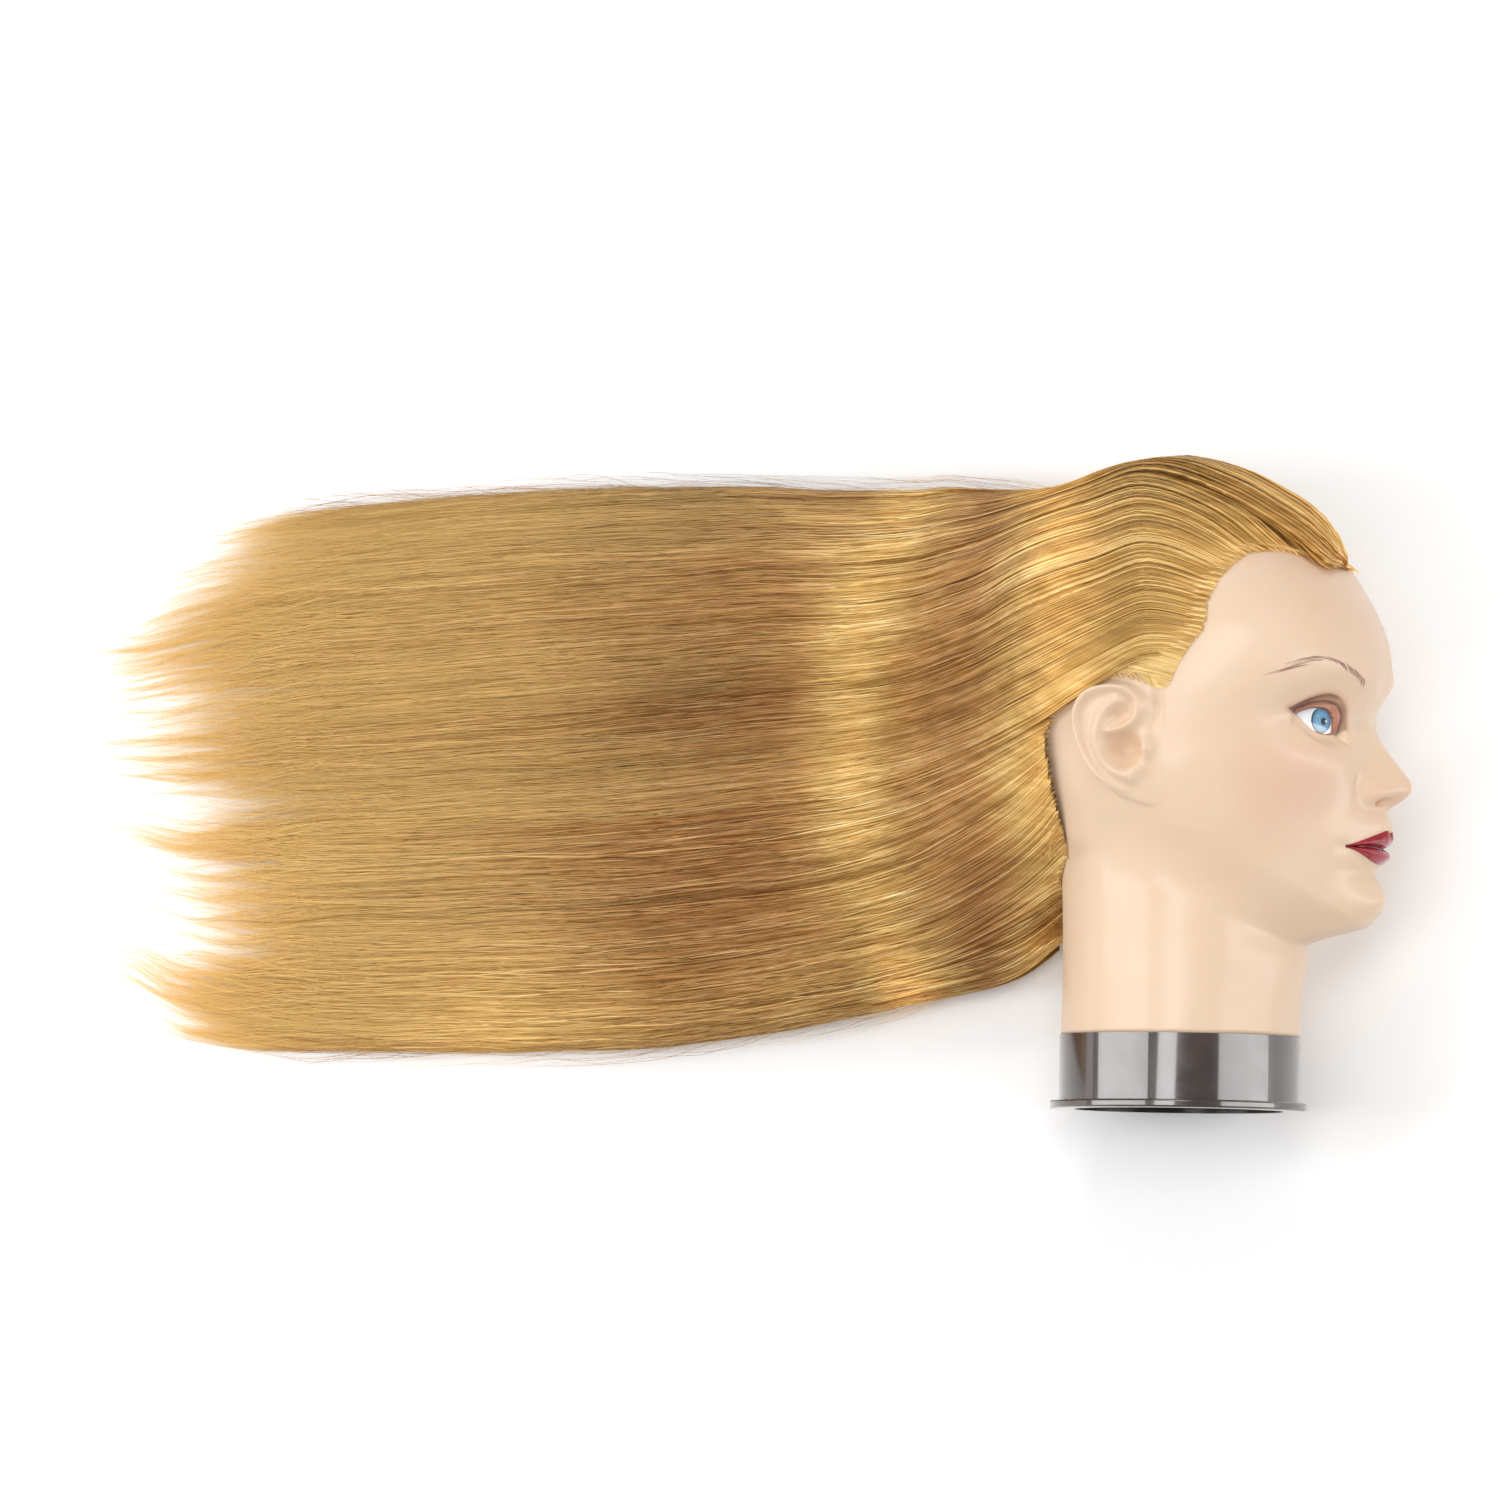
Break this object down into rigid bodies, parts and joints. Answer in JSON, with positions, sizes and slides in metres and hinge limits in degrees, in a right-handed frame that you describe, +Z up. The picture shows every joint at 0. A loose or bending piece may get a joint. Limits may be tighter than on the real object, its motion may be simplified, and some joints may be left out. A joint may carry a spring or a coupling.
{
  "type": "mannequin training head",
  "caption": "Salon training head with long blond hair, painted face and ringed base, lying on its left side with the hair combed straight back.",
  "frame": {"origin": "middle of the footprint of the head as it lies on a table, on the table's surface", "axes": "+X towards the face, -X towards the tips of the hair, +Y towards the crown, +Z up from the table, which is the head's right side"},
  "size_m": [0.6034, 0.3142, 0.1688],
  "materials": {
    "skin": "semi-gloss soft vinyl with painted eyes, brows and lips",
    "foam": "rigid foam",
    "adhesive": "dried latex adhesive",
    "collar": "glossy dark brown moulding",
    "socket": "satin dark brown moulding",
    "hair": "glossy straight fibre",
    "hair_roots": "punched tufts"
  },
  "bodies": {
    "root": {"head_skin": "skin", "foam_core": "foam", "root_backing": "adhesive", "base_collar": "collar", "clamp_socket": "socket", "hair_neck_right": "hair", "hair_neck_left": "hair", "hair_nape_right": "hair", "hair_nape_left": "hair", "hair_ear_right": "hair", "hair_ear_left": "hair", "hair_side_right": "hair", "hair_side_left": "hair", "hair_crown_right": "hair", "hair_crown_left": "hair", "hair_top_right": "hair", "hair_top_left": "hair", "hairline_tufts_front": "hair_roots", "hairline_tufts_right": "hair_roots", "hairline_tufts_left": "hair_roots"}
  },
  "joints": []
}
